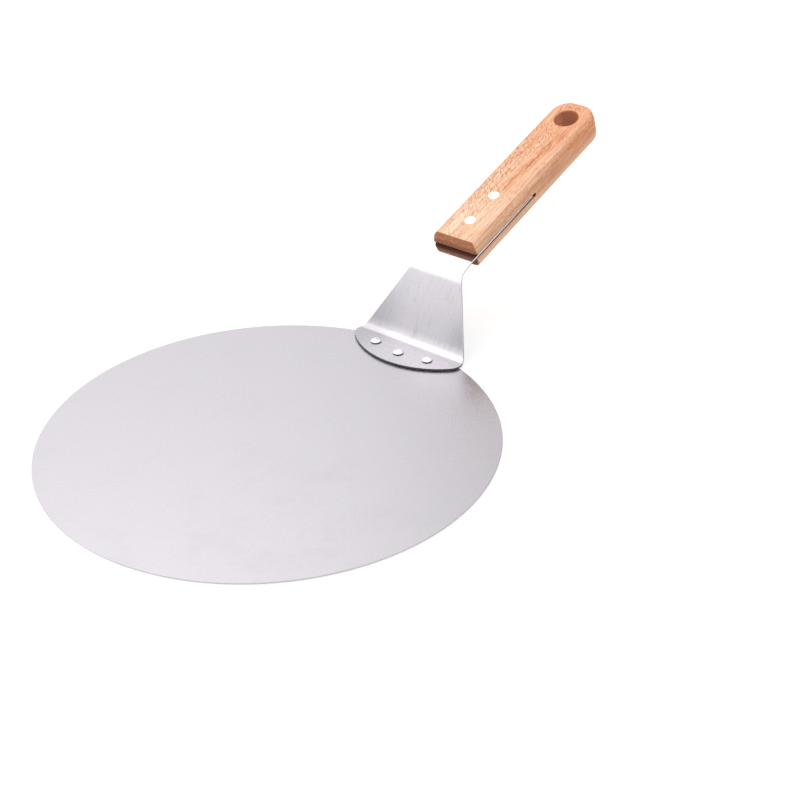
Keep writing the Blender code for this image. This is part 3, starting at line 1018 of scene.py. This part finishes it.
class LIFTER_OT_blade_rivets(bpy.types.Operator):
    """Set out the blade's rivets on the flange"""

    bl_idname = "lifter.blade_rivets"
    bl_label = "Blade rivets"

    def execute(self, context):
        scene = context.scene
        sizes = scene.lifter_sizes
        colour = scene.lifter_colours.rivet_steel
        finish = steel("polished_rivets", colour, polished_dome, shared_groups(), dome_foot_shade)
        mesh = one_rivet("blade_rivet", ["blade_rivet_middle"], rivet_middle, 0)
        settings = {
            "Count": 3,
            "Step": (sizes.blade_rivet_step, 0, 0),
            "Bow": sizes.blade_rivet_bow,
            "Spread": sizes.blade_rivet_share,
            "Place": rivet_middle,
        }
        nodes = ["blade_rivet_left", "blade_rivet_middle", "blade_rivet_right"]
        rivet_row("blade_rivets", mesh, settings, finish, nodes)
        return {"FINISHED"}


class LIFTER_OT_handle(bpy.types.Operator):
    """Dress the handle in oiled wood"""

    bl_idname = "lifter.handle"
    bl_label = "Handle"

    def execute(self, context):
        finish = oiled_wood(context.scene.lifter_colours, shared_groups())
        marked_piece(
            "wood_handle",
            "handle",
            finish,
            is_kerf_wall_of_handle,
            smooth_angle,
            finish_handle,
        )
        return {"FINISHED"}


class LIFTER_OT_handle_rivets(bpy.types.Operator):
    """Set the handle's flush rivets into the wood"""

    bl_idname = "lifter.handle_rivets"
    bl_label = "Handle rivets"

    def execute(self, context):
        scene = context.scene
        sizes = scene.lifter_sizes
        colour = scene.lifter_colours.handle_rivet_metal
        finish = steel("ground_rivets", colour, ground_disc, shared_groups())
        front = ["handle_rivet_front_barrel", "handle_rivet_front_pin"]
        rear = ["handle_rivet_rear_barrel", "handle_rivet_rear_pin"]
        mesh = one_rivet("handle_rivet", front, handle_rivet_front, handle_tilt)
        settings = {
            "Count": 2,
            "Step": (0, sizes.handle_rivet_step, 0),
            "Spread": sizes.handle_rivet_share,
            "Tilt": handle_tilt,
            "Place": (handle_rivet_front + handle_rivet_rear) / 2,
        }
        rivet_row("handle_rivets", mesh, settings, finish, front + rear)
        return {"FINISHED"}


# The stage: a pale floor, one large soft lamp, a studio that is brighter on the left, the camera

# Where the camera stands and how it is turned, from the blade's round outline in the photograph
camera_azimuth = math.radians(39.96885)
camera_elevation = math.radians(31.59119)
camera_roll = math.radians(-2.06111)
camera_distance = 0.95044
camera_target = Vector((0.03185, 0.07480, 0))
camera_lens = 75.824
sensor_width = 36

floor_half_side = 12
floor_drop = 0.0003

# How grey the floor is as it lights the lifter, and as it shows: its own glow and its share of light
floor_bounce = 0.86
floor_shade = 0.45
floor_glow = 0.62

lamp_place = Vector((-0.3, -0.42, 1.4))
lamp_aim = Vector((0, 0.1, 0))

# The studio's dome, by direction: how far left its bright wall starts and is full, how much its
# ceiling leans toward the lifter's front, and the heights between which it brightens
wall_start = -0.42
wall_full = -0.56
ceiling_lean = 0.1
ceiling_start = 0.4
ceiling_full = 0.68


def make_floor():
    """A wide pale floor that shows as white and keeps the lifter's shadow."""
    mesh = bpy.data.meshes.new("floor")
    bm = bmesh.new()
    bmesh.ops.create_grid(bm, x_segments=1, y_segments=1, size=floor_half_side)
    bmesh.ops.translate(bm, verts=bm.verts, vec=(0, 0, -floor_drop))
    bm.to_mesh(mesh)
    bm.free()
    material = bpy.data.materials.new("pale_floor")
    material.use_nodes = True
    tree = material.node_tree
    tree.nodes.clear()
    path = tree.nodes.new("ShaderNodeLightPath")
    seen = math_node(tree, "MAXIMUM", path.outputs["Is Camera Ray"], path.outputs["Is Glossy Ray"])
    seen = math_node(tree, "MAXIMUM", seen, path.outputs["Is Transmission Ray"])
    bounce = node(tree, "ShaderNodeBsdfDiffuse", {"Color": tinted((1, 1, 1), floor_bounce)})
    shaded = node(tree, "ShaderNodeBsdfDiffuse", {"Color": tinted((1, 1, 1), floor_shade)})
    glow = node(tree, "ShaderNodeEmission", {"Strength": floor_glow})
    shown = node(tree, "ShaderNodeAddShader", {0: shaded.outputs[0], 1: glow.outputs[0]})
    both = node(tree, "ShaderNodeMixShader", {0: seen, 1: bounce.outputs[0], 2: shown.outputs[0]})
    node(tree, "ShaderNodeOutputMaterial", {"Surface": both.outputs[0]})
    mesh.materials.append(material)
    floor = bpy.data.objects.new("floor", mesh)
    bpy.context.scene.collection.objects.link(floor)


def make_lamp(light):
    """One soft lamp, high up and a little to the front left, clear of what the flat steel mirrors."""
    data = bpy.data.lights.new("soft_lamp", "AREA")
    data.shape = "SQUARE"
    data.size = light.lamp_side
    data.energy = light.lamp_power
    lamp = bpy.data.objects.new("soft_lamp", data)
    bpy.context.scene.collection.objects.link(lamp)
    lamp.location = lamp_place
    aim = lamp_aim - lamp_place
    lamp.rotation_euler = aim.to_track_quat("-Z", "Y").to_euler()


def make_world(light):
    """Studio walls that are bright on the lifter's left and dim on its right."""
    world = bpy.data.worlds.new("studio")
    bpy.context.scene.world = world
    world.use_nodes = True
    tree = world.node_tree
    tree.nodes.clear()
    place = tree.nodes.new("ShaderNodeTexCoord")
    parts = node(tree, "ShaderNodeSeparateXYZ", {0: place.outputs["Generated"]}).outputs
    wall = mapped(tree, parts["X"], wall_start, wall_full, light.dim_wall, light.bright_wall)
    height = math_node(tree, "MULTIPLY_ADD", parts["Y"], -ceiling_lean, parts["Z"])
    ceiling = mapped(tree, height, ceiling_start, ceiling_full, 0.0, light.ceiling, "LINEAR")
    glow = math_node(tree, "ADD", wall, ceiling)
    background = node(tree, "ShaderNodeBackground", {"Color": (1, 1, 1, 1), "Strength": glow})
    node(tree, "ShaderNodeOutputWorld", {"Surface": background.outputs[0]})


def make_camera():
    """The camera at the photograph's viewing angle."""
    data = bpy.data.cameras.new("camera")
    data.sensor_width = sensor_width
    data.lens = camera_lens
    camera = bpy.data.objects.new("camera", data)
    bpy.context.scene.collection.objects.link(camera)
    sine, cosine = math.sin(camera_azimuth), math.cos(camera_azimuth)
    level = math.cos(camera_elevation)
    back = Vector((sine * level, -cosine * level, math.sin(camera_elevation)))
    right = Vector((cosine, sine, 0))
    up = back.cross(right)
    rolled_right = math.cos(camera_roll) * right + math.sin(camera_roll) * up
    rolled_up = math.cos(camera_roll) * up - math.sin(camera_roll) * right
    turned = Matrix((rolled_right, rolled_up, back)).transposed().to_4x4()
    camera.matrix_world = Matrix.Translation(camera_target + back * camera_distance) @ turned
    bpy.context.scene.camera = camera


class LIFTER_OT_stage(bpy.types.Operator):
    """Make the floor, the lamp, the studio and the camera"""

    bl_idname = "lifter.stage"
    bl_label = "Stage"

    def execute(self, context):
        light = context.scene.lifter_light
        make_floor()
        make_lamp(light)
        make_world(light)
        make_camera()
        context.scene.view_settings.view_transform = "Standard"
        return {"FINISHED"}


class LIFTER_PT_panel(bpy.types.Panel):
    """The lifter's settings, and a button for each group of pieces"""

    bl_idname = "LIFTER_PT_panel"
    bl_label = "Cake Lifter"
    bl_space_type = "VIEW_3D"
    bl_region_type = "UI"
    bl_category = "Cake Lifter"

    def draw(self, context):
        scene = context.scene
        for group in (scene.lifter_sizes, scene.lifter_colours, scene.lifter_light):
            column = self.layout.column()
            for name in group.__annotations__:
                column.prop(group, name)
        for operator in operators:
            self.layout.operator(operator.bl_idname)


operators = (
    LIFTER_OT_blade,
    LIFTER_OT_neck,
    LIFTER_OT_blade_rivets,
    LIFTER_OT_handle,
    LIFTER_OT_handle_rivets,
    LIFTER_OT_stage,
)
settings_groups = (LifterColours, LifterSizes, StudioLight)


def register():
    for item in (*settings_groups, *operators, LIFTER_PT_panel):
        bpy.utils.register_class(item)
    bpy.types.Scene.lifter_colours = bpy.props.PointerProperty(type=LifterColours)
    bpy.types.Scene.lifter_sizes = bpy.props.PointerProperty(type=LifterSizes)
    bpy.types.Scene.lifter_light = bpy.props.PointerProperty(type=StudioLight)


def unregister():
    del bpy.types.Scene.lifter_light
    del bpy.types.Scene.lifter_sizes
    del bpy.types.Scene.lifter_colours
    for item in reversed((*settings_groups, *operators, LIFTER_PT_panel)):
        bpy.utils.unregister_class(item)


def main():
    register()
    bpy.ops.lifter.blade()
    bpy.ops.lifter.neck()
    bpy.ops.lifter.blade_rivets()
    bpy.ops.lifter.handle()
    bpy.ops.lifter.handle_rivets()
    bpy.ops.lifter.stage()


if __name__ == "__main__":
    main()
